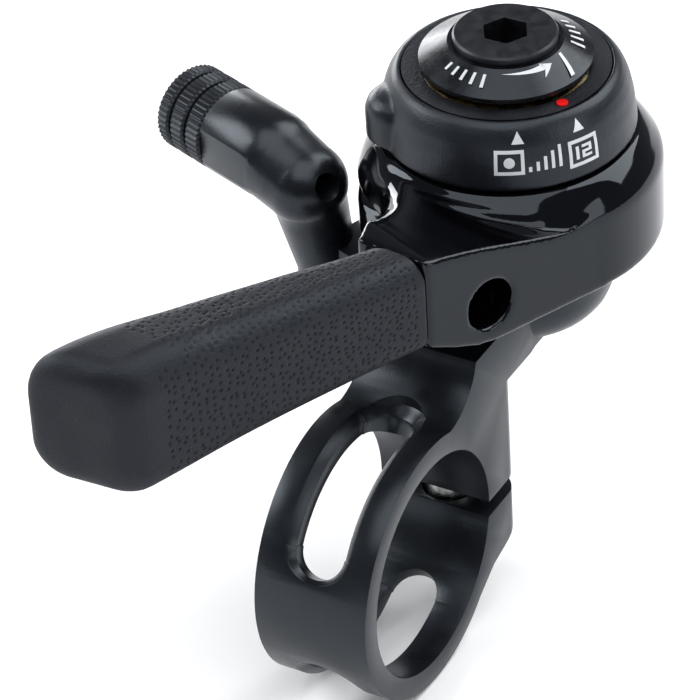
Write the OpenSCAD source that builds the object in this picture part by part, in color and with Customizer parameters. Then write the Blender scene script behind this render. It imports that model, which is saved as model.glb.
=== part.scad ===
// Bicycle thumb shifter for a flat handlebar.
// Origin: centre of the handlebar bore. +X runs along the bar, +Z along the lever pivot.

/* [Handlebar clamp] */
// Radius of the handlebar bore
bore_r = 11.1; // [11:0.05:11.2]
// Wall of the band
band_t = 2.2; // [2:0.1:2.6]
// Width of the band along the bar
band_w = 11.7; // [11:0.1:13]
// Distance from the bore centre to the pivot axis
pivot_y = 28.4; // [28:0.1:29]
// Radius of the hub that carries the lever
hub_r = 9.8; // [9.4:0.1:10.2]

/* [Lever] */
// Radius of the lever head
head_r = 14.65; // [14.4:0.05:14.8]
// Direction of the released lever, in degrees from +X
lever_angle = -114; // [-120:1:-110]
// Sweep of the lever over all speeds, in degrees
lever_sweep = 155; // [120:1:160]
// Distance from the pivot to the tip of the grip
reach = 58.9; // [56:0.1:60]
// Number of speeds in the indexed mode
speeds = 12; // [8:1:12]

/* [Mode ring] */
// Outer radius of the mode ring at its foot
ring_r = 12.2; // [12:0.05:12.3]
// Turn of the ring from indexed to friction mode, in degrees
mode_turn = 30; // [20:1:35]

/* [Barrel adjuster] */
// Direction of the barrel, in degrees from +X
barrel_angle = 160; // [155:1:165]
// Radius of the knurled barrel
barrel_r = 4.4; // [4.2:0.05:4.6]
// Length of the knurled barrel
barrel_len = 6.8; // [6.5:0.1:8]
// Travel of the barrel out of its boss
barrel_travel = 3; // [2:0.5:4]

/* [Hidden] */
$fn = 96;

run_gap = 0.05;                      // radial clearance of every running fit

// Levels of the pivot stack, upwards
hub_bottom = 10.6;
hub_top = 18.8;
hub_round = 4;                       // round under the hub
lever_bottom = 19.6;
cable_z = 24.9;
nipple_z = 24;
sleeve_top = 30.4;
lever_top = 30.8;
ring_bottom = 31.05;
plate_top = 31.8;
carrier_bottom = 31.9;
carrier_top = 33.3;
dial_bottom = 35.3;
dial_top = 37.6;
cap_bottom = 38.1;
cap_top = 40.3;
bolt_top = 41.1;

post_r = 4;
post_flat = 3.2;                     // half the width across the post's two flats
thread_r = 2.5;                      // M5
shank_r = thread_r - run_gap;

// Slit and ear of the clamp
slit_top = -0.4;
slit_bottom = -2.1;
ear_y = 17.8;
clamp_bolt_y = 14;
ear_seat_z = -7.5;
band_r = bore_r + band_t;

// Cable line: it leaves the drum at cable_r and runs along the barrel
cable_r = 13.7;
boss_r = 4.4;
boss_start = 14.5;
boss_end = 25;
arm_flat = 3.95;                     // distance from the cable line to the arm's flat side
stem_r = 3;
stem_start = 18.6;
socket_depth = 6;
seat_r = 2.2;

// Lever arm, in a frame whose +X runs along the arm
nipple_x = 13.9;
arm_side_y = head_r - 0.05;          // the arm's wall lies just inside the head's tangent
nipple_r = 2.5;
nipple_depth = 6.5;
grip_start = 21.1;
root_slant = 2.4;                    // the grip's far corner starts this much later
track_r = 7.6;                       // radius of the ball track
ball_r = 1.2;
lug_angle = 60;
lug_half = 1.2;
carrier_lift = 0.6;                  // lifts the balls clear of the notched plate
stop_r = 8.2;                        // radius of the stop pin's groove
stop_angle = 20;

module at_pivot(angle = 0) {
    translate([0, pivot_y, 0]) rotate([0, 0, angle]) children();
}

// Extrudes a Y-Z outline along the bar, centred on the origin
module along_bar(width) {
    rotate([90, 0, 90]) linear_extrude(width, center = true) children();
}

module tube(r_out, r_in, z0, z1) {
    translate([0, 0, z0]) difference() {
        cylinder(r = r_out, h = z1 - z0);
        translate([0, 0, -1]) cylinder(r = r_in, h = z1 - z0 + 2);
    }
}

module disc(r, z0, z1) {
    translate([0, 0, z0]) cylinder(r = r, h = z1 - z0);
}

// Round shaft with two flats
module keyed_shaft(r, flat, z0, z1) {
    intersection() {
        disc(r, z0, z1);
        translate([-flat, -2 * r, z0]) cube([2 * flat, 4 * r, z1 - z0]);
    }
}

// ---------------------------------------------------------------- clamp

// Outline of the band, neck, hub web and ear across the bar
module clamp_outline() {
    neck_left = 9.9;
    shelf_z = 17;
    fillet_left = 6;
    fillet_right = 4;
    difference() {
        union() {
            circle(r = band_r);
            difference() {
                translate([neck_left - fillet_left, 0])
                    square([ear_y - neck_left + fillet_left, shelf_z]);
                translate([neck_left - fillet_left, band_r - 0.7 + fillet_left]) circle(r = fillet_left);
                translate([-1, band_r - 0.7 + fillet_left]) square([neck_left + 1, 10]);
            }
            difference() {
                translate([ear_y - 1, hub_bottom + 0.6 - fillet_right])
                    square([pivot_y - ear_y + 1, shelf_z - hub_bottom - 0.6 + fillet_right]);
                translate([ear_y + fillet_right, hub_bottom + 0.6 - fillet_right]) circle(r = fillet_right);
                translate([ear_y + fillet_right, hub_bottom - 10.4]) square([20, 11]);
            }
            polygon([[8, -10.5], [11.6, -8.3], [14.6, ear_seat_z], [ear_y - 0.9, -6.2], [ear_y, -4.4], [ear_y, 0], [8, 0]]);
        }
        circle(r = bore_r);
        translate([bore_r - 2, slit_bottom]) square([20, slit_top - slit_bottom]);
    }
}

// Cuts a slot with round ends along the band from angle a0 to a1, with a chamfered rim
module band_slot(a0, a1, half_w, reach_r) {
    chamfer = 1;
    rim_r = band_r + 0.2;
    end_w = half_w - 0.1;
    rotate([90, 0, 90]) rotate([0, 0, a0]) {
        rotate_extrude(angle = a1 - a0) polygon([[bore_r - 1, -half_w], [rim_r - chamfer, -half_w],
            [rim_r, -half_w - chamfer], [reach_r, -half_w - chamfer], [reach_r, half_w + chamfer],
            [rim_r, half_w + chamfer], [rim_r - chamfer, half_w], [bore_r - 1, half_w]]);
        for (a = [0, a1 - a0]) rotate([0, 0, a]) rotate([0, 90, 0]) rotate([0, 0, a > 0 ? -90 : 90]) rotate_extrude() polygon([[0, bore_r - 2],
            [end_w, bore_r - 2], [end_w, rim_r - chamfer], [end_w + chamfer, rim_r], [end_w + chamfer, reach_r],
            [0, reach_r]]);
    }
}

// Rounds the two upright edges of the neck and ear on the +Y side
module upright_edges(radius) {
    for (side = [-1, 1]) translate([side * band_w / 2, ear_y, -12]) difference() {
        translate([-radius, -radius, 0]) cube([2 * radius, 2 * radius, 23]);
        translate([-side * radius, -radius, -1]) cylinder(r = radius + 0.04, h = 25);
    }
}

// Tapered round rod from point p to point q
module rod(p, q, r_p, r_q) {
    run = q - p;
    translate(p) rotate([0, acos(run.z / norm(run)), atan2(run.y, run.x)]) cylinder(r1 = r_p, r2 = r_q, h = norm(run));
}

// Boss that holds the barrel, and the bent arm that carries it from the hub; its outer side is flat
module barrel_arm() {
    collar = [boss_end - 6, cable_r, cable_z];
    bend = [boss_start, cable_r - 0.3, cable_z - 1.4];
    foot = [boss_start - 0.5, cable_r - 2, hub_bottom + 3];
    difference() {
        union() {
            translate(collar) rotate([0, 90, 0]) rotate_extrude()
                polygon(concat([for (a = [-90 : 15 : 0]) boss_r * [cos(a), sin(a)]], [[boss_r, 6], [0, 6]]));
            rod(bend, collar, 4.05, boss_r - 0.12);
            translate(bend) sphere(r = 4.12);
            rod(foot, bend, 2.9, 3.8);
            translate([foot.x, foot.y, 0]) disc(3, hub_bottom + 0.4, foot.z + 0.6);
        }
        translate([0, cable_r + arm_flat, 0]) cube([40, 5, 40]);
    }
}

module clamp_body() {
    color([0.09, 0.09, 0.1]) difference() {
        union() {
            along_bar(band_w) clamp_outline();
            at_pivot() {
                rotate_extrude() polygon(concat([[0, hub_bottom]],
                    [for (a = [0 : 15 : 90]) [hub_r - hub_round * (1 - sin(a)), hub_bottom + hub_round * (1 - cos(a))]],
                    [[hub_r, hub_top - 0.4], [hub_r - 0.4, hub_top], [0, hub_top]]));
                disc(post_r, hub_top - 1, sleeve_top);
                keyed_shaft(post_r, post_flat, sleeve_top - 1, dial_top - 0.6);
            }
            at_pivot(barrel_angle) {
                barrel_arm();
                translate([0, cable_r - 6, hub_bottom + 0.5]) cube([boss_start - 1, 5, 6]);
            }
        }
        upright_edges(3);
        band_slot(77, 147, 2.6, 17);
        band_slot(216, 300, 2.6, band_r + 2);
        at_pivot() disc(thread_r, hub_top + 2, dial_top + 1);
        at_pivot(stop_angle) translate([stop_r, 0, 0]) disc(1, hub_top - 2, hub_top + 1);
        at_pivot(barrel_angle) translate([0, cable_r, cable_z]) rotate([0, 90, 0]) {
            translate([0, 0, stem_start - 0.6]) cylinder(r = stem_r + run_gap, h = 12);
            translate([0, 0, boss_start - 6]) cylinder(r = 1.3, h = 12);
            translate([0, 0, boss_end - 1]) cylinder(r = 3.6, h = 2);
        }
        translate([0, clamp_bolt_y, -4]) cylinder(r = thread_r, h = 13);
        translate([0, clamp_bolt_y, -14]) cylinder(r = 2.75, h = 13);
        translate([0, clamp_bolt_y, -16]) cylinder(r = 4.4, h = 16 + ear_seat_z);
    }
}

module clamp_bolt_washer() {
    color("silver") translate([0, clamp_bolt_y, 0]) tube(4.3, 2.7, ear_seat_z - 0.6, ear_seat_z);
}

module clamp_bolt() {
    seat = ear_seat_z - 0.6;
    color("silver") translate([0, clamp_bolt_y, 0]) difference() {
        union() {
            disc(shank_r, seat - 1, 8);
            translate([0, 0, seat - 2.8]) cylinder(r1 = 3.2, r2 = 4.25, h = 1.4);
            disc(4.25, seat - 1.4, seat);
        }
        translate([0, 0, seat - 3]) cylinder(r = 2 / cos(30), h = 2.4, $fn = 6);
    }
}

// ---------------------------------------------------------------- lever

module lever_head() {
    rotate_extrude() polygon([[0, lever_bottom], [head_r - 0.5, lever_bottom], [head_r, lever_bottom + 0.5],
        [head_r, 27.6], [head_r - 0.35, 28.4], [13.3, 29.8], [ring_r + 0.1, lever_top], [0, lever_top]]);
}

// Side view of the arm: it rises from the head to the grip
module arm_side() {
    polygon([[0, lever_bottom], [13, lever_bottom], [15.5, 20], [18, 20.9], [21, 22.3], [24, 22.4],
             [24, 32.1], [21, 31.9], [18, 31.3], [14.8, 30.6], [10.5, 29.3], [6.4, 28.2], [0, 28]]);
}

// Plan of the arm, tangent to the head on both sides
module arm_plan() {
    polygon([[0, arm_side_y], [grip_start, arm_side_y], [grip_start + root_slant, 7.4], [16, 1.5], [11, -6], [0, 0]]);
}

module tang() {
    translate([grip_start - 1, 9.4, 24.6]) cube([30, 3.4, 5.4]);
}

module lever() {
    color([0.06, 0.06, 0.07]) difference() {
        at_pivot() union() {
            lever_head();
            rotate([0, 0, lever_angle]) {
                intersection() {
                    translate([0, 40, 0]) rotate([90, 0, 0]) linear_extrude(80) arm_side();
                    linear_extrude(60) arm_plan();
                }
                tang();
            }
        }
        at_pivot() {
            disc(5.5, lever_bottom - 1, lever_top + 1);
            disc(6.5, lever_bottom - 1, lever_bottom + 0.6);
            disc(6.4, sleeve_top, lever_top + 1);
        }
        // cable groove round the drum side
        at_pivot(lever_angle - 180) rotate_extrude(angle = 180)
            polygon([[cable_r - 0.9, cable_z - 0.4], [cable_r - 0.5, cable_z - 0.9], [cable_r + 3, cable_z - 1.1],
                [cable_r + 3, cable_z + 1.1], [cable_r - 0.5, cable_z + 0.9], [cable_r - 0.9, cable_z + 0.4]]);
        // stop groove in the underside
        at_pivot(stop_angle - lever_sweep - 1) rotate_extrude(angle = lever_sweep + 2)
            translate([stop_r - 1.2, lever_bottom - 1]) square([2.4, 2.6]);
        for (a = [stop_angle - lever_sweep - 1, stop_angle + 1])
            at_pivot(a) translate([stop_r, 0, 0]) disc(1.16, lever_bottom - 1, lever_bottom + 1.6);
        at_pivot() index_lugs(0);
        // nipple pocket and cable hole across the arm
        at_pivot(lever_angle) translate([nipple_x, head_r + 1, nipple_z]) rotate([90, 0, 0]) {
            cylinder(r = nipple_r, h = nipple_depth + 1);
            cylinder(r = 1.1, h = 32);
        }
    }
}

// Sections of the grip along the arm: [x, width, bottom, top, slant]
grip_sections = [
    [grip_start + 0.03, 7.2, 22.2, 32.2, root_slant],
    [grip_start + 9, 8.6, 22.2, 33, 2.8],
    [grip_start + 20, 10, 21.8, 34, 3.4],
    [reach - 7.2, 11.5, 20.9, 34.4, 4.3],
    [reach - 5.4, 10.1, 21.5, 33.6, 4.3],
    [reach - 4.8, 8.1, 22.5, 32.6, 4.3]
];

module grip_section(s) {
    corner = 2.4;
    width = s[1];
    height = s[3] - s[2];
    inset = (grip_sections[3][1] - width) / 2;
    side = arm_side_y - (s[0] > reach - 8 ? inset : 0);
    translate([s[0], side, s[2]]) rotate([0, 0, atan(s[4] / width) * (s[0] > reach - 9 ? 1.3 : 1)])
        rotate([90, 0, -90]) linear_extrude(0.02) hull() {
            translate([corner * 0.5, corner * 0.5]) circle(r = corner * 0.5, $fn = 24);
            translate([width - corner, corner]) circle(r = corner, $fn = 24);
            translate([corner, height - corner]) circle(r = corner, $fn = 24);
            translate([width - 3.2, height - 3.2]) circle(r = 3.2, $fn = 24);
        }
}

module lever_grip() {
    color([0.13, 0.13, 0.13]) at_pivot(lever_angle) difference() {
        union() for (i = [0 : len(grip_sections) - 2]) hull() {
            grip_section(grip_sections[i]);
            grip_section(grip_sections[i + 1]);
        }
        tang();
    }
}

module lever_bushing() {
    color("peru") at_pivot() {
        tube(5.5, post_r + run_gap, lever_bottom - 0.1, sleeve_top);
        tube(6.5, post_r + run_gap, lever_bottom - 0.1, lever_bottom + 0.6);
    }
}

module base_washer() {
    color("white") at_pivot() tube(6.6, post_r + run_gap, hub_top, lever_bottom - 0.15);
}

module stop_pin() {
    color("silver") at_pivot(stop_angle) translate([stop_r, 0, 0]) disc(1, hub_top - 2, lever_bottom + 1.2);
}

// ---------------------------------------------------------------- indexing

module index_lugs(gap) {
    for (i = [0 : 2]) rotate([0, 0, 120 * i + 10]) translate([8.4, 0, 0]) disc(0.9 - gap, lever_top - 1, lever_top + 0.5);
}

module index_plate() {
    step = lever_sweep / (speeds - 1);
    color("lightsteelblue") at_pivot() {
        difference() {
            tube(9.1, 6.5, lever_top, plate_top);
            rotate_extrude() translate([track_r - 0.95, plate_top - 0.45]) square([1.9, 1]);
            for (side = [0, 180], i = [0 : speeds - 1]) rotate([0, 0, side - i * step])
                translate([track_r, 0, 0]) disc(0.7, lever_top - 1, plate_top);
        }
        index_lugs(0);
    }
}

module friction_washer() {
    color("goldenrod") at_pivot() tube(6.3, post_r + run_gap, sleeve_top + 0.02, sleeve_top + 0.6);
}

module thrust_sleeve() {
    color("gainsboro") at_pivot() difference() {
        keyed_shaft(5.4, 4.8, sleeve_top + 0.65, dial_bottom);
        keyed_shaft(post_r + run_gap, post_flat + run_gap, sleeve_top, dial_bottom + 1);
    }
}

// Two lugs of the carrier ride on ramps inside the mode ring
module ball_carrier() {
    color("dimgray") at_pivot() difference() {
        union() {
            disc(8.9, carrier_bottom, carrier_top);
            for (a = [0, 180]) rotate([0, 0, lug_angle + a]) translate([8, -lug_half, carrier_bottom])
                cube([1.77, 2 * lug_half, carrier_top - carrier_bottom]);
        }
        keyed_shaft(5.4 + run_gap, 4.8 + run_gap, carrier_bottom - 1, carrier_top + 1);
        for (a = [0, 180]) rotate([0, 0, a]) translate([track_r, 0, 0])
            disc(ball_r + run_gap, carrier_bottom - 1, carrier_top + 1);
    }
}

module detent_balls() {
    color("silver") at_pivot() for (a = [0, 180]) rotate([0, 0, a])
        translate([track_r, 0, plate_top - 0.4 + ball_r]) sphere(r = ball_r, $fn = 32);
}

module detent_spring() {
    rim = carrier_top + 0.05;
    top = dial_bottom - 0.08;
    color("lightgray") at_pivot() rotate_extrude()
        polygon([[8.75, rim], [8.9, rim], [8.9, rim + 0.4], [6.1, top], [5.9, top], [5.9, top - 0.27], [8, rim + 0.65]]);
}

module dial_plate() {
    color([0.16, 0.16, 0.17]) at_pivot() difference() {
        union() {
            disc(9.3, dial_bottom, dial_top);
            disc(9.9, dial_top - 1.3, dial_top);
        }
        disc(8.1, dial_top - 1, dial_top + 1);
        keyed_shaft(post_r + run_gap, post_flat + run_gap, dial_bottom - 1, dial_top + 1);
        rotate([0, 0, -27.5]) translate([9, 0, 0]) disc(0.55, dial_top - 0.7, dial_top + 1);
    }
}

module index_dot() {
    color("red") at_pivot(-27.5) translate([9, 0, 0]) disc(0.55, dial_top - 0.7, dial_top + 0.15);
}

module ring_tab() {
    tab_r = 3.4;
    rotate([0, 0, -141]) translate([10.2, 0, ring_bottom + 0.4]) rotate_extrude() polygon([[0, 0], [tab_r, 0], [tab_r, 3.1],
        [tab_r - 0.3, 3.9], [tab_r - 1, 4.5], [tab_r - 2, 4.8], [0, 4.9]]);
}

// Pocket that one lug slides in; its floor climbs by the lift over the ring's turn
module lug_pocket() {
    lug_reach = 8;                   // degrees from the lug's middle to its corner, and a little room
    ramp_middle = lug_angle - lug_reach - mode_turn / 2;
    run = 2 * 9.6 * sin(mode_turn / 2);
    difference() {
        rotate([0, 0, lug_angle - mode_turn - lug_reach - 1]) rotate_extrude(angle = mode_turn + 2 * lug_reach + 2)
            translate([9, plate_top]) square([0.97, 4.5]);
        rotate([0, 0, ramp_middle]) translate([7.6, 0, carrier_bottom + carrier_lift / 2 - 0.05])
            rotate([-atan(carrier_lift / run), 0, 0]) translate([0, -4, -3]) cube([4, 8, 3]);
    }
}

module mode_ring() {
    color([0.12, 0.12, 0.13]) at_pivot() difference() {
        union() {
            rotate_extrude() polygon([[8, ring_bottom], [ring_r, ring_bottom], [ring_r, ring_bottom + 0.5],
                [11.95, 34], [11.6, 35.6], [11.25, 36.5], [10.8, 37.2], [10.3, 37.6], [8, 37.7]]);
            ring_tab();
        }
        disc(9.36, ring_bottom - 1, 38);
        disc(9.98, dial_top - 1.4, 38);
        for (a = [0, 180]) rotate([0, 0, a]) lug_pocket();
    }
}

// ---------------------------------------------------------------- friction cap

module keyed_washer() {
    color("silver") at_pivot() difference() {
        disc(7.9, dial_top - 0.95, dial_top - 0.45);
        keyed_shaft(post_r + run_gap, post_flat + run_gap, dial_bottom, dial_top + 1);
    }
}

module tension_spring() {
    color("goldenrod") at_pivot() rotate_extrude() polygon([[4.2, cap_bottom - 0.4], [7.7, dial_top - 0.4],
        [7.7, dial_top - 0.05], [4.2, cap_bottom - 0.05]]);
}

module tension_cap() {
    color([0.08, 0.08, 0.09]) at_pivot() difference() {
        rotate_extrude() polygon([[0, cap_bottom], [8.05, cap_bottom], [8.25, cap_bottom + 0.2], [8.25, cap_bottom + 0.6],
            [5.5, cap_top], [0, cap_top]]);
        disc(3.6 + run_gap, cap_bottom - 1, cap_top + 1);
        disc(5.05, cap_top - 0.6, cap_top + 1);
    }
}

module pivot_bolt() {
    color([0.1, 0.1, 0.11]) at_pivot() difference() {
        union() {
            disc(shank_r, 24, cap_top);
            disc(3.6, cap_bottom, cap_top);
            rotate_extrude() polygon([[0, cap_top - 0.6], [5, cap_top - 0.6], [5, bolt_top - 0.2], [4.8, bolt_top], [0, bolt_top]]);
        }
        translate([0, 0, bolt_top - 2.6]) cylinder(r = 2 / cos(30), h = 3, $fn = 6);
    }
}

// ---------------------------------------------------------------- barrel adjuster

module along_barrel() {
    at_pivot(barrel_angle) translate([0, cable_r, cable_z]) rotate([0, 90, 0]) children();
}

module barrel_adjuster() {
    start = boss_end + 0.1;
    groove = 0.45;
    color([0.1, 0.1, 0.11]) along_barrel() difference() {
        union() {
            disc(stem_r, stem_start, start + 1);
            rotate_extrude() polygon([[0, start], [barrel_r - 0.2, start], [barrel_r, start + 0.3],
                [barrel_r, start + barrel_len - 1.2], [barrel_r - 0.4, start + barrel_len - 0.4],
                [barrel_r - 1.2, start + barrel_len], [0, start + barrel_len]]);
        }
        for (i = [1, 2]) tube(barrel_r + 1, barrel_r - groove, start + i * barrel_len / 3 - 0.2, start + i * barrel_len / 3 + 0.2);
        disc(1.3, boss_start - 1, start + barrel_len + 1);
        disc(seat_r + run_gap, start + barrel_len - socket_depth - 1, start + barrel_len);
        disc(2.6, start + barrel_len - socket_depth, start + barrel_len + 1);
    }
}

module barrel_seat() {
    start = boss_end + 0.1;
    color("white") along_barrel()
        tube(seat_r, 1.1, start + barrel_len - socket_depth - 0.95, start + barrel_len - socket_depth - 0.05);
}

module barrel_o_ring() {
    color([0.05, 0.05, 0.05]) along_barrel() rotate_extrude() translate([3.32, boss_end - 0.5]) circle(r = 0.24, $fn = 24);
}

clamp_body();
clamp_bolt();
clamp_bolt_washer();
base_washer();
stop_pin();
lever();
lever_grip();
lever_bushing();
index_plate();
friction_washer();
thrust_sleeve();
ball_carrier();
detent_balls();
detent_spring();
dial_plate();
index_dot();
mode_ring();
keyed_washer();
tension_spring();
tension_cap();
pivot_bolt();
barrel_adjuster();
barrel_seat();
barrel_o_ring();
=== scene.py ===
import math
import random

import bmesh
import bpy
from mathutils import Matrix, Vector


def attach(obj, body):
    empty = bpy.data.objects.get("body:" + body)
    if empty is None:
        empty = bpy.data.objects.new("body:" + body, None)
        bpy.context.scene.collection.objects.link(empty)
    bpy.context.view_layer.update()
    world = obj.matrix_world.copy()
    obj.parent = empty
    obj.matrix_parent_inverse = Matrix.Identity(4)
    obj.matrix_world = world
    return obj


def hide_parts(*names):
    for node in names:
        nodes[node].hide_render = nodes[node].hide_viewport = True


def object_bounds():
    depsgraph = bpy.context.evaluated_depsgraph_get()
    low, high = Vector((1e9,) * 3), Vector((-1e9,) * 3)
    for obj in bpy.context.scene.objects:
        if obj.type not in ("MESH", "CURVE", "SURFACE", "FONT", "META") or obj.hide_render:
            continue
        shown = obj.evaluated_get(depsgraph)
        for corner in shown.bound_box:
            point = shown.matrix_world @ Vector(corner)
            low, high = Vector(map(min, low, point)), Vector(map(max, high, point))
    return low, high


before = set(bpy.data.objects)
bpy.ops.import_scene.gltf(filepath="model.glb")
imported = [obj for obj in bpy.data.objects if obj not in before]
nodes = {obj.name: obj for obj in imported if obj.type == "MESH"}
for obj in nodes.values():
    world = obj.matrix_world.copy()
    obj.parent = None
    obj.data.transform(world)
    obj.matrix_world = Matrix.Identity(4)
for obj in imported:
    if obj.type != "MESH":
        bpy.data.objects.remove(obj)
cad_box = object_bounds()

MM = 0.001
PIVOT_Y = 28.4          # the lever pivot stands this far behind the bar bore
LEVER_ANGLE = -114      # directions of the released lever and of the barrel, in degrees from +X
BARREL_ANGLE = 160

scene = bpy.context.scene
scene.view_settings.view_transform = "Standard"
scene.view_settings.look = "Medium High Contrast"


# ---------------------------------------------------------------- places and small helpers

def turned(angle, x=0.0, y=0.0, z=0.0):
    """Matrix, in millimetres, of a frame turned about the pivot and then moved along its own axes."""
    return (Matrix.Translation((0, PIVOT_Y, 0)) @ Matrix.Rotation(math.radians(angle), 4, "Z")
            @ Matrix.Translation((x, y, z)))


def polar(radius, degrees, z):
    """Point on a circle about the lever pivot, in millimetres."""
    a = math.radians(degrees)
    return Vector((radius * math.cos(a), PIVOT_Y + radius * math.sin(a), z))


def between(table, x):
    """Smooth value of a table of (x, value) rows at x."""
    rows = [table[0]] + list(table) + [table[-1]]
    for i in range(1, len(rows) - 2):
        if x <= rows[i + 1][0] or i == len(rows) - 3:
            (xa, a), (xb, b) = rows[i], rows[i + 1]
            t = min(max((x - xa) / max(xb - xa, 1e-9), 0), 1)
            before, after = rows[i - 1][1], rows[i + 2][1]
            slope_a, slope_b = (b - before) / 2, (after - a) / 2
            return ((2 * t ** 3 - 3 * t ** 2 + 1) * a + (t ** 3 - 2 * t ** 2 + t) * slope_a
                    + (3 * t ** 2 - 2 * t ** 3) * b + (t ** 3 - t ** 2) * slope_b)
    return table[-1][1]


def piece(name, bm, body, finish, sharp, replaces=()):
    """Turns a bmesh drawn in millimetres into a finished piece that rides on a body.

    Edges sharper than the given angle stay crisp.
    """
    bmesh.ops.scale(bm, vec=(MM, MM, MM), verts=bm.verts)
    bmesh.ops.recalc_face_normals(bm, faces=bm.faces)
    mesh = bpy.data.meshes.new(name)
    bm.to_mesh(mesh)
    bm.free()
    for polygon in mesh.polygons:
        polygon.use_smooth = True
    mesh.set_sharp_from_angle(angle=math.radians(sharp))
    obj = bpy.data.objects.new(name, mesh)
    scene.collection.objects.link(obj)
    mesh.materials.append(finish)
    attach(obj, body)
    if replaces:
        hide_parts(*replaces)


def loft(loops, capped):
    """Skins a run of equal loops of points.

    Each new ring is extruded from the one before and moved to its place.
    A capped skin is closed with a face at each end, and any other joins its last ring to its first.
    """
    bm = bmesh.new()
    ring = bmesh.ops.create_circle(bm, segments=len(loops[0]), radius=1)["verts"]
    for v, p in zip(ring, loops[0]):
        v.co = p
    first_edges = edges = [bm.edges.get((ring[i], ring[i - 1])) for i in range(len(ring))]
    for loop in loops[1:]:
        made = bmesh.ops.extrude_edge_only(bm, edges=edges)["geom"]
        fresh = {g for g in made if isinstance(g, bmesh.types.BMVert)}
        ring = [next(e.other_vert(v) for e in v.link_edges if e.other_vert(v) in fresh) for v in ring]
        for v, p in zip(ring, loop):
            v.co = p
        edges = [bm.edges.get((ring[i], ring[i - 1])) for i in range(len(ring))]
    if capped:
        bmesh.ops.contextual_create(bm, geom=first_edges)
        bmesh.ops.contextual_create(bm, geom=edges)
    else:
        bmesh.ops.bridge_loops(bm, edges=first_edges + edges)
    return bm


def merged_copy(node):
    """A CAD node's own shape as one welded bmesh, in millimetres."""
    bm = bmesh.new()
    bm.from_mesh(nodes[node].data)
    bmesh.ops.scale(bm, vec=(1 / MM, 1 / MM, 1 / MM), verts=bm.verts)
    bmesh.ops.remove_doubles(bm, verts=bm.verts, dist=0.002)
    return bm


def ease(bm, passes, verts=None):
    """Smooths the given points, or all of them, a number of times."""
    for _ in range(passes):
        bmesh.ops.smooth_vert(bm, verts=verts or bm.verts, factor=0.5,
                              use_axis_x=True, use_axis_y=True, use_axis_z=True)


def softened(node, cell, passes):
    """A CAD node with every edge eased: the shape is re-skinned in small even cells and then smoothed."""
    bm = merged_copy(node)
    mesh = bpy.data.meshes.new(node + "_cells")
    bm.to_mesh(mesh)
    bm.free()
    holder = bpy.data.objects.new(node + "_cells", mesh)
    scene.collection.objects.link(holder)
    cells = holder.modifiers.new("cells", "REMESH")
    cells.mode = "VOXEL"
    cells.voxel_size = cell
    skinned = holder.evaluated_get(bpy.context.evaluated_depsgraph_get()).to_mesh()
    bm = bmesh.new()
    bm.from_mesh(skinned)
    holder.to_mesh_clear()
    bpy.data.objects.remove(holder)
    ease(bm, passes)
    return bm


# ---------------------------------------------------------------- node groups

CLOUD_BAND = (0.35, 0.65)   # the part of a slow noise that is spread into the cloud of tone


def new_group(name, inputs, outputs):
    """Empty shader group with float inputs (name, value) and float outputs."""
    group = bpy.data.node_groups.new(name, "ShaderNodeTree")
    for label, value in inputs:
        socket = group.interface.new_socket(label, in_out="INPUT", socket_type="NodeSocketFloat")
        socket.default_value = value
    for label in outputs:
        group.interface.new_socket(label, in_out="OUTPUT", socket_type="NodeSocketFloat")
    return group, group.nodes.new("NodeGroupInput"), group.nodes.new("NodeGroupOutput")


def maths(tree, operation, a, b):
    """Result of one sum on numbers or sockets."""
    node = tree.nodes.new("ShaderNodeMath")
    node.operation = operation
    for socket, value in zip(node.inputs, (a, b)):
        if isinstance(value, (int, float)):
            socket.default_value = value
        else:
            tree.links.new(value, socket)
    return node.outputs[0]


def stretch(tree, value, low, high, to_low=0.0, to_high=1.0):
    """The stretch from low to high of a value, spread over another range."""
    node = tree.nodes.new("ShaderNodeMapRange")
    for label, setting in (("From Min", low), ("From Max", high), ("To Min", to_low), ("To Max", to_high)):
        node.inputs[label].default_value = setting
    tree.links.new(value, node.inputs["Value"])
    return node.outputs["Result"]


def scaled_noise(tree, coords, scale, detail, roughness=0.5):
    """Noise whose scale is a number or a socket."""
    node = tree.nodes.new("ShaderNodeTexNoise")
    node.inputs["Detail"].default_value = detail
    node.inputs["Roughness"].default_value = roughness
    if isinstance(scale, (int, float)):
        node.inputs["Scale"].default_value = scale
    else:
        tree.links.new(scale, node.inputs["Scale"])
    tree.links.new(coords, node.inputs["Vector"])
    return node.outputs["Fac"]


def blasted_group():
    """Shot-blasted skin: fine pits, a soft cloud of tone and a few bright flecks."""
    tree, given, out = new_group("blasted_skin", [("Pits per metre", 7000), ("Cloud per metre", 160)],
                                 ["Height", "Cloud", "Flecks"])
    coords = tree.nodes.new("ShaderNodeTexCoord").outputs["Object"]
    pits = scaled_noise(tree, coords, given.outputs[0], 3, 0.65)
    tree.links.new(pits, out.inputs["Height"])
    cloud = scaled_noise(tree, coords, given.outputs[1], 3)
    tree.links.new(stretch(tree, cloud, *CLOUD_BAND), out.inputs["Cloud"])
    tree.links.new(stretch(tree, pits, 0.66, 0.72), out.inputs["Flecks"])
    return tree


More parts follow.
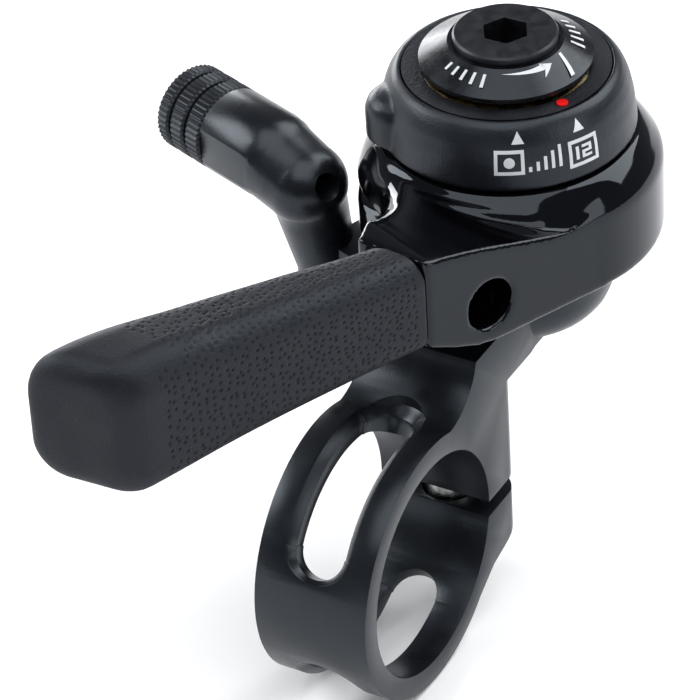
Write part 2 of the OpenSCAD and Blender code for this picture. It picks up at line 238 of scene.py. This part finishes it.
def moulded_group():
    """Moulded plastic or rubber grain: small rounded cells with a slow variation of tone."""
    tree, given, out = new_group("moulded_grain", [("Cells per metre", 4500), ("Cloud per metre", 220)],
                                 ["Height", "Cloud", "Flecks"])
    coords = tree.nodes.new("ShaderNodeTexCoord").outputs["Object"]
    cells = tree.nodes.new("ShaderNodeTexVoronoi")
    cells.feature = "SMOOTH_F1"
    tree.links.new(coords, cells.inputs["Vector"])
    tree.links.new(given.outputs[0], cells.inputs["Scale"])
    fine = scaled_noise(tree, coords, given.outputs[0], 2)
    tree.links.new(maths(tree, "ADD", cells.outputs["Distance"], fine), out.inputs["Height"])
    cloud = scaled_noise(tree, coords, given.outputs[1], 4)
    tree.links.new(stretch(tree, cloud, *CLOUD_BAND), out.inputs["Cloud"])
    tree.links.new(stretch(tree, fine, 0.7, 0.76), out.inputs["Flecks"])
    return tree


def turned_group():
    """Lathe-turned metal: fine rings about the lever pivot's direction, with a little unevenness."""
    tree, given, out = new_group("turned_rings", [("Rings per metre", 5000)], ["Height", "Cloud"])
    coords = tree.nodes.new("ShaderNodeTexCoord").outputs["Object"]
    middle = tree.nodes.new("ShaderNodeMapping")
    middle.inputs["Location"].default_value = (0, -PIVOT_Y * MM, 0)
    tree.links.new(coords, middle.inputs["Vector"])
    split = tree.nodes.new("ShaderNodeSeparateXYZ")
    tree.links.new(middle.outputs[0], split.inputs[0])
    square = [maths(tree, "MULTIPLY", split.outputs[i], split.outputs[i]) for i in (0, 1)]
    radius = maths(tree, "SQRT", maths(tree, "ADD", square[0], square[1]), 0.5)
    phase = maths(tree, "MULTIPLY", maths(tree, "ADD", radius, split.outputs[2]), given.outputs[0])
    tree.links.new(maths(tree, "SINE", phase, 0.0), out.inputs["Height"])
    cloud = scaled_noise(tree, coords, 900, 3)
    tree.links.new(stretch(tree, cloud, *CLOUD_BAND), out.inputs["Cloud"])
    return tree


BLASTED, MOULDED, TURNED = blasted_group(), moulded_group(), turned_group()


# ---------------------------------------------------------------- materials

def material(name, group, dark, light, rough, depth, bump_mm, settings=(), inputs=(), flecks=None):
    """Principled material whose colour, roughness and bump come from one of the groups.

    dark and light are the ends of its tone, rough the ends of its roughness, and depth the strength of its
    bump. settings go on the shader's own sockets, inputs on the group's, and flecks is the colour of flecks.
    """
    made = bpy.data.materials.new(name)
    made.use_nodes = True
    tree = made.node_tree
    shader = tree.nodes["Principled BSDF"]
    for label, value in settings:
        shader.inputs[label].default_value = value
    skin = tree.nodes.new("ShaderNodeGroup")
    skin.node_tree = group
    for label, value in inputs:
        skin.inputs[label].default_value = value
    tone = tree.nodes.new("ShaderNodeMix")
    tone.data_type = "RGBA"
    tone.inputs["A"].default_value = (*dark, 1)
    tone.inputs["B"].default_value = (*light, 1)
    tree.links.new(skin.outputs["Cloud"], tone.inputs["Factor"])
    colour = tone.outputs["Result"]
    if flecks:
        speck = tree.nodes.new("ShaderNodeMix")
        speck.data_type = "RGBA"
        speck.inputs["B"].default_value = (*flecks, 1)
        tree.links.new(skin.outputs["Flecks"], speck.inputs["Factor"])
        tree.links.new(colour, speck.inputs["A"])
        colour = speck.outputs["Result"]
    tree.links.new(colour, shader.inputs["Base Color"])
    tree.links.new(stretch(tree, skin.outputs["Cloud"], 0, 1, *rough), shader.inputs["Roughness"])
    bump = tree.nodes.new("ShaderNodeBump")
    bump.inputs["Strength"].default_value = depth
    bump.inputs["Distance"].default_value = bump_mm * MM
    tree.links.new(skin.outputs["Height"], bump.inputs["Height"])
    tree.links.new(bump.outputs["Normal"], shader.inputs["Normal"])
    return made


COOL = ("Specular Tint", (0.82, 0.91, 1.0, 1))


def shine(level):
    return ("Specular IOR Level", level)


anodised = material(
    "satin_black_anodised", BLASTED, (0.006, 0.007, 0.009), (0.01, 0.011, 0.014), (0.26, 0.36), 0.6, 0.02,
    (shine(0.6), COOL), (("Pits per metre", 4600),), (0.03, 0.032, 0.038))
gloss = material(
    "gloss_black_lacquer", BLASTED, (0.002, 0.002, 0.003), (0.003, 0.003, 0.004), (0.04, 0.09), 0.03, 0.004,
    (shine(0.5), COOL), (("Pits per metre", 2500),))
ring_plastic = material(
    "moulded_ring_plastic", MOULDED, (0.007, 0.008, 0.011), (0.012, 0.013, 0.017), (0.34, 0.42), 0.5, 0.025,
    (shine(0.55), COOL), (("Cells per metre", 4600),))
dial_plastic = material(
    "moulded_dial_plastic", MOULDED, (0.009, 0.009, 0.012), (0.017, 0.017, 0.021), (0.45, 0.55), 0.9, 0.04,
    (COOL,), (("Cells per metre", 3600),))
cap_black = material(
    "turned_black_cap", TURNED, (0.002, 0.002, 0.003), (0.005, 0.005, 0.006), (0.22, 0.3), 0.08, 0.002,
    (shine(0.5), COOL))
bolt_black = material(
    "turned_black_bolt", TURNED, (0.005, 0.005, 0.007), (0.011, 0.011, 0.014), (0.32, 0.42), 0.1, 0.003,
    (COOL,))
rubber = material(
    "dimpled_grip_rubber", MOULDED, (0.007, 0.007, 0.01), (0.013, 0.013, 0.017), (0.48, 0.62), 0.7, 0.035,
    (shine(0.45), COOL), (("Cells per metre", 5600),), (0.06, 0.06, 0.066))
knob_plastic = material(
    "ribbed_knob_plastic", MOULDED, (0.012, 0.013, 0.016), (0.02, 0.021, 0.025), (0.36, 0.46), 0.3, 0.015,
    (COOL,), (("Cells per metre", 6500),))
METAL = (("Metallic", 1.0),)
steel = material(
    "turned_steel", TURNED, (0.42, 0.42, 0.41), (0.58, 0.58, 0.56), (0.22, 0.34), 0.2, 0.005, METAL)
brass = material(
    "spring_brass", TURNED, (0.42, 0.3, 0.12), (0.58, 0.44, 0.2), (0.25, 0.38), 0.2, 0.005, METAL)
nylon = material(
    "natural_nylon", MOULDED, (0.62, 0.6, 0.53), (0.74, 0.72, 0.66), (0.45, 0.55), 0.2, 0.02,
    (("Subsurface Weight", 0.05),))
grey_nylon = material(
    "filled_nylon", MOULDED, (0.08, 0.08, 0.08), (0.13, 0.13, 0.13), (0.5, 0.6), 0.3, 0.02)
red_paint = material(
    "red_dot_paint", MOULDED, (0.5, 0.006, 0.006), (0.7, 0.012, 0.01), (0.3, 0.4), 0.1, 0.01)
white_print = material(
    "white_print_ink", MOULDED, (0.5, 0.52, 0.54), (0.64, 0.66, 0.68), (0.45, 0.6), 0.2, 0.01)
o_ring_rubber = material(
    "o_ring_rubber", MOULDED, (0.008, 0.008, 0.008), (0.014, 0.014, 0.014), (0.5, 0.6), 0.3, 0.02)


def paint_pit_shade(finish):
    """Painted shade in the bottom of the grip's pits: the rubber's colour is mixed towards near-black where
    the pit attribute is set.
    """
    tree = finish.node_tree
    shader = tree.nodes["Principled BSDF"]
    pit = tree.nodes.new("ShaderNodeAttribute")
    pit.attribute_name = "pit"
    shade = tree.nodes.new("ShaderNodeMix")
    shade.data_type = "RGBA"
    # painted shade: the near-black colour that stands for shade in the pits
    shade.inputs["B"].default_value = (0.001, 0.001, 0.002, 1)
    tree.links.new(pit.outputs["Fac"], shade.inputs["Factor"])
    tree.links.new(shader.inputs["Base Color"].links[0].from_socket, shade.inputs["A"])
    tree.links.new(shade.outputs["Result"], shader.inputs["Base Color"])


paint_pit_shade(rubber)
FINISHES = {
    anodised: ["clamp_body"],
    gloss: ["lever"],
    ring_plastic: ["mode_ring"],
    dial_plastic: ["dial_plate"],
    cap_black: ["tension_cap"],
    bolt_black: ["pivot_bolt"],
    rubber: ["lever_grip"],
    knob_plastic: ["barrel_adjuster"],
    steel: ["clamp_bolt", "clamp_bolt_washer", "stop_pin", "thrust_sleeve", "detent_spring", "keyed_washer",
            "index_plate", "detent_balls"],
    brass: ["tension_spring", "lever_bushing", "friction_washer"],
    nylon: ["base_washer", "barrel_seat"],
    grey_nylon: ["ball_carrier"],
    red_paint: ["index_dot"],
    o_ring_rubber: ["barrel_o_ring"],
}
for finish, members in FINISHES.items():
    for member in members:
        nodes[member].data.materials.clear()
        nodes[member].data.materials.append(finish)


# ---------------------------------------------------------------- clamp, lever and ring with eased edges

CLAMP_EDGE = 0.2            # width of the bevel on the clamp body's edges
CRISP_ANGLE = 28            # an edge that turns by more degrees than this is bevelled
FLAT_ANGLE = 1.2            # faces that turn by fewer degrees than this are joined into one
LEVER_CELL, RING_CELL = 0.22, 0.2

# The lever's polished top, with x along the arm, y across it towards the side wall and z up
DISH_START, DISH_END = -2, 20.4
DISH_WALL_Y = 13.5
DISH_FLOOR = 24.5
DISH_R = 12.9
ARM_TOP = [(0, 26.4), (6.4, 28.2), (10.5, 29.3), (14.8, 30.6), (18, 31.3), (21, 31.9), (24, 32.1)]
CONE_R, CONE_TOP, CONE_SLOPE = 13.3, 29.8, 1.4
CONE_FLOOR = 27
BLEND = 0.5                 # how softly the cone runs into the arm
FURTHEST_MOVE = 1


def bevelled(node, width):
    """A CAD node with its sharp edges bevelled.

    Flat faces are joined first, so that each edge is one clean run.
    """
    bm = merged_copy(node)
    bmesh.ops.dissolve_limit(bm, angle_limit=math.radians(FLAT_ANGLE), verts=bm.verts, edges=bm.edges)
    crisp = [e for e in bm.edges
             if len(e.link_faces) == 2 and e.calc_face_angle(0) > math.radians(CRISP_ANGLE)]
    bmesh.ops.bevel(bm, geom=crisp, offset=width, offset_type="OFFSET", segments=2, profile=0.5,
                    affect="EDGES", clamp_overlap=True, material=-1)
    bmesh.ops.triangulate(bm, faces=[f for f in bm.faces if len(f.verts) > 4])
    return bm


def dish_lever(bm):
    """Blends the arm's top into the head, as a polished forging is, and leaves the side wall crisp."""
    place = turned(LEVER_ANGLE).inverted()
    soft = []
    for v in bm.verts:
        p = place @ v.co
        on_top = p.z > DISH_FLOOR and v.normal.z > -0.2
        if on_top and DISH_START < p.x < DISH_END and p.y < DISH_WALL_Y and math.hypot(p.x, p.y) > DISH_R:
            soft.append(v)
    ease(bm, 420, soft)


def fade(value, low, high):
    """0 below low, 1 above high, smooth between."""
    t = min(max((value - low) / (high - low), 0), 1)
    return t * t * (3 - 2 * t)


def arm_height(x):
    """Height of the arm's top along the lever, averaged over 4 mm so that it has no corners."""
    total = 0.0
    for step in range(-4, 5):
        at = x + step * 0.5
        for (x0, z0), (x1, z1) in zip(ARM_TOP, ARM_TOP[1:]):
            if at <= x1 or x1 == ARM_TOP[-1][0]:
                total += z0 + (z1 - z0) * (at - x0) / (x1 - x0)
                break
    return total / 9


def level_top(bm):
    """Draws the head's polished cone and the top of the arm to one even surface.

    It fades out towards rounded edges, the ring, the grip and the dished side of the arm.
    """
    place = turned(LEVER_ANGLE).inverted()
    bm.normal_update()
    for v in bm.verts:
        p = place @ v.co
        radius = math.hypot(p.x, p.y)
        share = fade(v.normal.z, 0.6, 0.88) * fade(radius, 13.5, 14.1) * (1 - fade(p.x, 19, DISH_END))
        share *= max(1 - fade(p.x, 2, 6), fade(p.y, 3, 8))
        if p.z < CONE_FLOOR or share == 0:
            continue
        cone = CONE_TOP - (radius - CONE_R) * CONE_SLOPE
        arm = arm_height(p.x)
        height = (cone + arm + math.hypot(cone - arm, BLEND)) / 2
        if abs(height - p.z) < FURTHEST_MOVE:
            v.co.z += (height - p.z) * share


piece("clamp_eased", bevelled("clamp_body", CLAMP_EDGE), "frame", anodised, 40, ["clamp_body"])

lever_shape = softened("lever", LEVER_CELL, 5)
dish_lever(lever_shape)
ease(lever_shape, 9)
level_top(lever_shape)
piece("lever_polished", lever_shape, "lever", gloss, 60, ["lever"])

ring_shape = softened("mode_ring", RING_CELL, 4)
piece("mode_ring_eased", ring_shape, "mode_ring", ring_plastic, 60, ["mode_ring"])


# ---------------------------------------------------------------- rubber grip

GRIP_START, GRIP_END, WALL_Y = 21.15, 58.9, 14.6
# Width, bottom, top and slant in degrees, each at distances along the arm
GRIP_WIDTH = [(21, 7.3), (30, 8.5), (41, 10), (52, 11.6), (60, 12)]
GRIP_BOTTOM = [(21, 22.2), (30, 22.1), (41, 21.7), (52, 20.8), (60, 20.6)]
GRIP_TOP = [(21, 32.2), (30, 33), (41, 34), (49, 34.7), (60, 33.6)]
GRIP_SLANT = [(21, 18), (30, 19), (41, 21), (52, 26), (60, 27)]
GRIP_POINTS = 200           # points round the grip
GRIP_STEP = 0.2             # distance between its rows of points
TIP_ROUND, TIP_SLANT = 2.4, 5.2
PIT_DEPTH = 0.17
PIT_SPACING = 4             # points between two pits, along and round the grip
SMOOTH_ROWS = 20            # rows without pits at the tip of the top side
TOP_SIDE = (0.45, 0.78)     # the top side's share of the way round


def rounded_box(width, height, inset, count, bulk):
    """Evenly spaced points along a box with rounded corners, starting at the low corner by the wall.

    The box shrinks by the inset. Its corners grow with bulk, which is 0 at the lever and 1 at the tip.
    """
    corners = [(0, 0, 1.6 + 1.4 * bulk), (width, 0, 2.6 + 1.2 * bulk), (width, height, 3.4 + 0.9 * bulk),
               (0, height, 2.6 + 1.2 * bulk)]
    outline = []
    for i, (cx, cy, r) in enumerate(corners):
        r = max(r - inset * 0.4, 0.4)
        x = inset + r if cx == 0 else cx - inset - r
        y = inset + r if cy == 0 else cy - inset - r
        start = math.pi + i * math.pi / 2
        outline += [(x + r * math.cos(start + k * math.pi / 24), y + r * math.sin(start + k * math.pi / 24))
                    for k in range(13)]
    outline.append(outline[0])
    lengths = [math.dist(outline[i], outline[i + 1]) for i in range(len(outline) - 1)]
    step = sum(lengths) / count
    points, i, used = [], 0, 0.0
    for n in range(count):
        goal = n * step
        while used + lengths[i] < goal:
            used += lengths[i]
            i += 1
        t = (goal - used) / max(lengths[i], 1e-9)
        points.append((outline[i][0] + t * (outline[i + 1][0] - outline[i][0]),
                       outline[i][1] + t * (outline[i + 1][1] - outline[i][1])))
    return points


def grip_loop(x, inset=0.0):
    """One slanted ring of the grip at a distance along the arm."""
    slant = math.radians(between(GRIP_SLANT, x))
    width = between(GRIP_WIDTH, x)
    bottom = between(GRIP_BOTTOM, x)
    height = between(GRIP_TOP, x) - bottom
    bulk = (x - GRIP_START) / (GRIP_END - GRIP_START)
    place = turned(LEVER_ANGLE)
    return [place @ Vector((x + u * math.sin(slant), WALL_Y - u * math.cos(slant), bottom + v))
            for u, v in rounded_box(width, height, inset, GRIP_POINTS, bulk)]


def grip_skin(rows, flat_end):
    """The grip without its pits: a small round at the lever, even rows, and a rounded tip."""
    loops = [grip_loop(GRIP_START, 1.2), grip_loop(GRIP_START, 0.4), grip_loop(GRIP_START + 0.08, 0.1)]
    loops += [grip_loop(GRIP_START + 0.3 + i * GRIP_STEP) for i in range(rows - 1)]
    for k in range(1, 10):
        a = math.radians(10 * k)
        loops.append(grip_loop(flat_end + TIP_ROUND * math.sin(a), TIP_ROUND * (1 - math.cos(a))))
    rim = loops[-1]
    middle = sum(rim, Vector()) / len(rim)
    loops += [[middle + (p - middle) * share for p in rim] for share in (0.8, 0.6, 0.4, 0.2, 0.05)]
    return loft(loops, capped=True)


def pit_places(rows):
    """Numbers of the grip's points that are pressed in: a staggered grid, each point moved by at most one."""
    chance = random.Random(7)
    nudge = (-1, 0, 0, 1)
    places = set()
    for row in range(2 * PIT_SPACING, rows - PIT_SPACING, PIT_SPACING):
        shift = 0 if row % (2 * PIT_SPACING) else PIT_SPACING // 2
        for k in range(shift, GRIP_POINTS, PIT_SPACING):
            on_top = GRIP_POINTS * TOP_SIDE[0] < k < GRIP_POINTS * TOP_SIDE[1]
            if row < rows - SMOOTH_ROWS or not on_top:
                along = row + chance.choice(nudge)
                places.add(along * GRIP_POINTS + (k + chance.choice(nudge)) % GRIP_POINTS)
    return places


def grip_shape():
    """The whole grip. Its pits are marked in an attribute, which the rubber uses to paint shade into the
    pits.
    """
    flat_end = GRIP_END - TIP_SLANT - TIP_ROUND
    rows = int((flat_end - GRIP_START) / GRIP_STEP)
    bm = grip_skin(rows, flat_end)
    bmesh.ops.recalc_face_normals(bm, faces=bm.faces)
    bm.normal_update()
    # the pit attribute is the mask for the painted shade in the pits
    pit_mark = bm.verts.layers.float.new("pit")
    bm.verts.ensure_lookup_table()
    places = pit_places(rows)
    normals = {i: bm.verts[i].normal.copy() for i in places}
    for i in places:
        bm.verts[i].co -= normals[i] * PIT_DEPTH
        bm.verts[i][pit_mark] = 1
    return bm


piece("grip_dimpled", grip_shape(), "lever", rubber, 50, ["lever_grip"])


# ---------------------------------------------------------------- knurled barrel

# Distances along the barrel are from the lever pivot
KNOB_START, KNOB_LENGTH, KNOB_R = 25.1, 6.8, 4.4
KNOB_END = KNOB_START + KNOB_LENGTH
GROOVE_R = KNOB_R - 0.5
KNURLS = 50
KNURL_PATTERN = (0, 0, 0.75, 1)     # share of the tooth's depth at four points of each knurl
TOOTH = 0.17
STEM_R, STEM_START = 3.0, 18.6
CABLE_OFFSET, CABLE_Z, CABLE_HOLE_R = 13.7, 24.9, 1.3
SOCKET_R, SOCKET_DEPTH = 2.6, 6


def barrel_loop(radius, along, tooth):
    """One ring of the barrel, with knurls as deep as the tooth."""
    place = turned(BARREL_ANGLE, 0, CABLE_OFFSET, CABLE_Z)
    count = KNURLS * len(KNURL_PATTERN)
    points = []
    for i in range(count):
        a = 2 * math.pi * i / count
        r = radius - tooth * KNURL_PATTERN[i % len(KNURL_PATTERN)]
        points.append(place @ Vector((along, r * math.cos(a), r * math.sin(a))))
    return points


def barrel_shape():
    """Stem, three knurled bands with grooves between, rounded end and socket: (radius, along, tooth)."""
    rows = [(CABLE_HOLE_R, STEM_START, 0), (STEM_R - 0.2, STEM_START, 0), (STEM_R, STEM_START + 0.2, 0),
            (STEM_R, KNOB_START, 0), (GROOVE_R, KNOB_START, 0)]
    for band in range(3):
        a = KNOB_START + band * KNOB_LENGTH / 3 + (0.05 if band == 0 else 0.2)
        b = KNOB_START + (band + 1) * KNOB_LENGTH / 3 - (0.2 if band < 2 else 0.5)
        rows += [(KNOB_R - 0.25, a, 0.03), (KNOB_R, a + 0.2, TOOTH), (KNOB_R, b - 0.2, TOOTH),
                 (KNOB_R - 0.25, b, 0.03)]
        if band < 2:
            rows += [(GROOVE_R, b + 0.03, 0), (GROOVE_R, b + 0.37, 0)]
    rows += [(KNOB_R - 0.75, KNOB_END - 0.14, 0), (KNOB_R - 1.2, KNOB_END, 0), (SOCKET_R + 0.15, KNOB_END, 0),
             (SOCKET_R, KNOB_END - 0.15, 0), (SOCKET_R, KNOB_END - SOCKET_DEPTH, 0),
             (CABLE_HOLE_R, KNOB_END - SOCKET_DEPTH, 0)]
    return loft([barrel_loop(*row) for row in rows], capped=False)


piece("barrel_knurled", barrel_shape(), "barrel", knob_plastic, 28, ["barrel_adjuster"])


# ---------------------------------------------------------------- printed marks

# Outlines are flat: x is in degrees about the pivot, y is a height on the ring or a radius on the cap
RING_PROFILE = [(31.05, 12.2), (31.55, 12.2), (34, 11.95), (35.6, 11.6), (36.5, 11.25), (37.2, 10.8)]
CAP_RIM_R, CAP_RIM_Z = 8.25, 38.9
CAP_SLOPE = (40.3 - CAP_RIM_Z) / (CAP_RIM_R - 5.5)
INK = 0.03                  # the ink reaches this far above and below the surface
STRIP = 1.5                 # widest strip, in degrees, that stays straight when it is wrapped
STRIPS_HIGH = 8
LINE_X, LINE_Y = 1.6, 0.34  # widths of a frame's upright and level lines


def ring_radius(z):
    """Radius of the ring's outside at a height."""
    for (za, ra), (zb, rb) in zip(RING_PROFILE, RING_PROFILE[1:]):
        if z <= zb:
            return ra + (rb - ra) * (z - za) / (zb - za)
    return RING_PROFILE[-1][1]


def cut_in_strips(bm, axis, count):
    """Cuts flat outlines into equal strips along x (axis 0) or y (axis 1)."""
    low = min(v.co[axis] for v in bm.verts)
    high = max(v.co[axis] for v in bm.verts)
    normal = Vector((0, 0, 0))
    normal[axis] = 1
    for i in range(1, count):
        bmesh.ops.bisect_plane(bm, geom=bm.verts[:] + bm.edges[:] + bm.faces[:],
                               plane_co=normal * (low + (high - low) * i / count), plane_no=normal)


def marks(name, shapes, wrap, body):
    """Thin printed shapes: outlines cut into strips, given a thickness and wrapped on a surface."""
    bm = bmesh.new()
    for outline in shapes:
        bm.faces.new([bm.verts.new((x, y, 0)) for x, y in outline])
    width = max(v.co.x for v in bm.verts) - min(v.co.x for v in bm.verts)
    cut_in_strips(bm, 0, max(int(width / STRIP), 1))
    cut_in_strips(bm, 1, STRIPS_HIGH)
    bmesh.ops.solidify(bm, geom=bm.faces[:], thickness=2 * INK)
    lowest = min(v.co.z for v in bm.verts)
    for v in bm.verts:
        v.co = wrap(v.co.x, v.co.y, v.co.z - lowest - INK)
    piece(name, bm, body, white_print, 40)


def bar(x0, x1, y0, y1, lean=0.0):
    """A straight stroke whose top may lean."""
    return [(x0, y0), (x1, y0), (x1 + lean, y1), (x0 + lean, y1)]


def square_frame(x0, x1, y0, y1):
    """The four lines of a frame."""
    return [bar(x0, x1, y0, y0 + LINE_Y), bar(x0, x1, y1 - LINE_Y, y1),
            bar(x0, x0 + LINE_X, y0 + LINE_Y, y1 - LINE_Y), bar(x1 - LINE_X, x1, y0 + LINE_Y, y1 - LINE_Y)]


def dot(x, y, rx, ry, count=20):
    """A round dot, which is an oval on the flat outline."""
    return [(x + rx * math.cos(2 * math.pi * k / count), y + ry * math.sin(2 * math.pi * k / count))
            for k in range(count)]


def pointer(x, y0, y1):
    """A small triangle that points up."""
    return [(x - 3, y0), (x + 3, y0), (x, y1)]


def on_ring(x, y, lift):
    """A flat point wrapped on the mode ring."""
    return polar(ring_radius(y) + lift, x, y)


def on_cap(x, y, lift):
    """A flat point wrapped on the cap's cone."""
    return polar(y + lift * CAP_SLOPE, x, CAP_RIM_Z + (CAP_RIM_R - y) * CAP_SLOPE + lift)


# The ring shows a dot in a frame, five rising bars, and the number 12 in a frame
ring_shapes = [pointer(-57.6, 35.9, 37), pointer(-27.4, 35.9, 37)]
ring_shapes += square_frame(-68.6, -55.0, 32.9, 35.35)
ring_shapes += [dot(-61.8, 34.12, 2.5, 0.52)]
ring_shapes += [bar(-53.2 + 3.5 * i, -51.7 + 3.5 * i, 33.1, 33.6 + 0.42 * i) for i in range(5)]
ring_shapes += square_frame(-34.2, -18.6, 32.5, 35.2)
ring_shapes += [bar(-30.6, -29.0, 33.2, 34.5),
                bar(-27.4, -22.2, 33.2, 33.45), bar(-27.4, -22.2, 33.72, 33.97),
                bar(-27.4, -22.2, 34.25, 34.5), bar(-27.4, -25.9, 33.45, 33.72),
                bar(-23.7, -22.2, 33.97, 34.25)]
marks("ring_print", ring_shapes, on_ring, "mode_ring")

# The cap shows the shaft and the head of an arrow, a line, and a run of ticks on each side
cap_shapes = [[(-66.5, 6.0), (-38, 5.85), (-26, 5.7), (-26, 6.3), (-38, 6.25)],
              [(-30, 5.55), (-17.5, 6.0), (-31, 7.0), (-26, 6.1)],
              bar(-3.4, 0.2, 5.7, 7.9, -9.0)]
cap_shapes += [bar(-118 + 9 * i, -115.4 + 9 * i, 6.1, 6.9 + 0.12 * i) for i in range(5)]
cap_shapes += [bar(22 + 9 * i, 24.6 + 9 * i, 6.1, 7.4 - 0.12 * i) for i in range(5)]
marks("cap_print", cap_shapes, on_cap, "tension_knob")


# ---------------------------------------------------------------- floor, light and camera

OBJECT_MIDDLE = (0, 0.02, 0.02)
FLOOR_GAP = 0.0003
FLOOR_REACH = 3
# Name, place, width, height and watts of each soft box, in metres
SOFT_BOXES = [
    ("back_right_box", (0.38, 0.54, 0.66), 0.8, 0.8, 6.5),
    ("back_left_box", (-0.78, 0.6, 0.16), 0.7, 0.3, 4),
    ("top_box", (0.08, -0.27, 0.85), 0.9, 0.9, 4.8),
    ("left_box", (-0.7, -0.2, 0.45), 0.5, 0.5, 3.6),
    ("right_box", (0.75, -0.05, 0.25), 0.4, 0.4, 1),
]
CAMERA_PLACE = (0.1708, -0.2853, 0.2629)
CAMERA_RIGHT, CAMERA_BACK = (0.873, 0.486, -0.051), (0.420, -0.694, 0.585)
CAMERA_LENS, CAMERA_SENSOR = 231.4, 36


def lay_floor():
    """A pale floor just under the part."""
    bm = bmesh.new()
    bmesh.ops.create_grid(bm, x_segments=2, y_segments=2, size=FLOOR_REACH)
    mesh = bpy.data.meshes.new("floor")
    bm.to_mesh(mesh)
    bm.free()
    obj = bpy.data.objects.new("floor", mesh)
    obj.location = (0, 0, cad_box[0][2] - FLOOR_GAP)
    scene.collection.objects.link(obj)
    paint = bpy.data.materials.new("pale_floor")
    paint.use_nodes = True
    shader = paint.node_tree.nodes["Principled BSDF"]
    shader.inputs["Base Color"].default_value = (0.9, 0.9, 0.91, 1)
    shader.inputs["Roughness"].default_value = 0.9
    mesh.materials.append(paint)


def soft_box(name, place, width, height, watts):
    """A rectangular area light that faces the part."""
    data = bpy.data.lights.new(name, "AREA")
    data.shape = "RECTANGLE"
    data.size = width
    data.size_y = height
    data.energy = watts
    obj = bpy.data.objects.new(name, data)
    obj.location = place
    obj.rotation_euler = (Vector(OBJECT_MIDDLE) - Vector(place)).to_track_quat("-Z", "Y").to_euler()
    scene.collection.objects.link(obj)


def fill_light():
    """A dim, slightly cool room all round."""
    world = bpy.data.worlds.new("studio")
    world.use_nodes = True
    room = world.node_tree.nodes["Background"]
    room.inputs["Color"].default_value = (0.92, 0.95, 1.0, 1)
    room.inputs["Strength"].default_value = 0.22
    scene.world = world


def stand_camera():
    """A long lens, above and to the right of the lever's grip."""
    data = bpy.data.cameras.new("camera")
    data.lens = CAMERA_LENS
    data.sensor_width = CAMERA_SENSOR
    data.clip_start = 0.01
    camera = bpy.data.objects.new("camera", data)
    right = Vector(CAMERA_RIGHT).normalized()
    back = Vector(CAMERA_BACK).normalized()
    up = back.cross(right).normalized()
    turn = Matrix((up.cross(back), up, back)).transposed().to_4x4()
    camera.matrix_world = Matrix.Translation(CAMERA_PLACE) @ turn
    scene.collection.objects.link(camera)
    scene.camera = camera


lay_floor()
fill_light()
for box in SOFT_BOXES:
    soft_box(*box)
stand_camera()
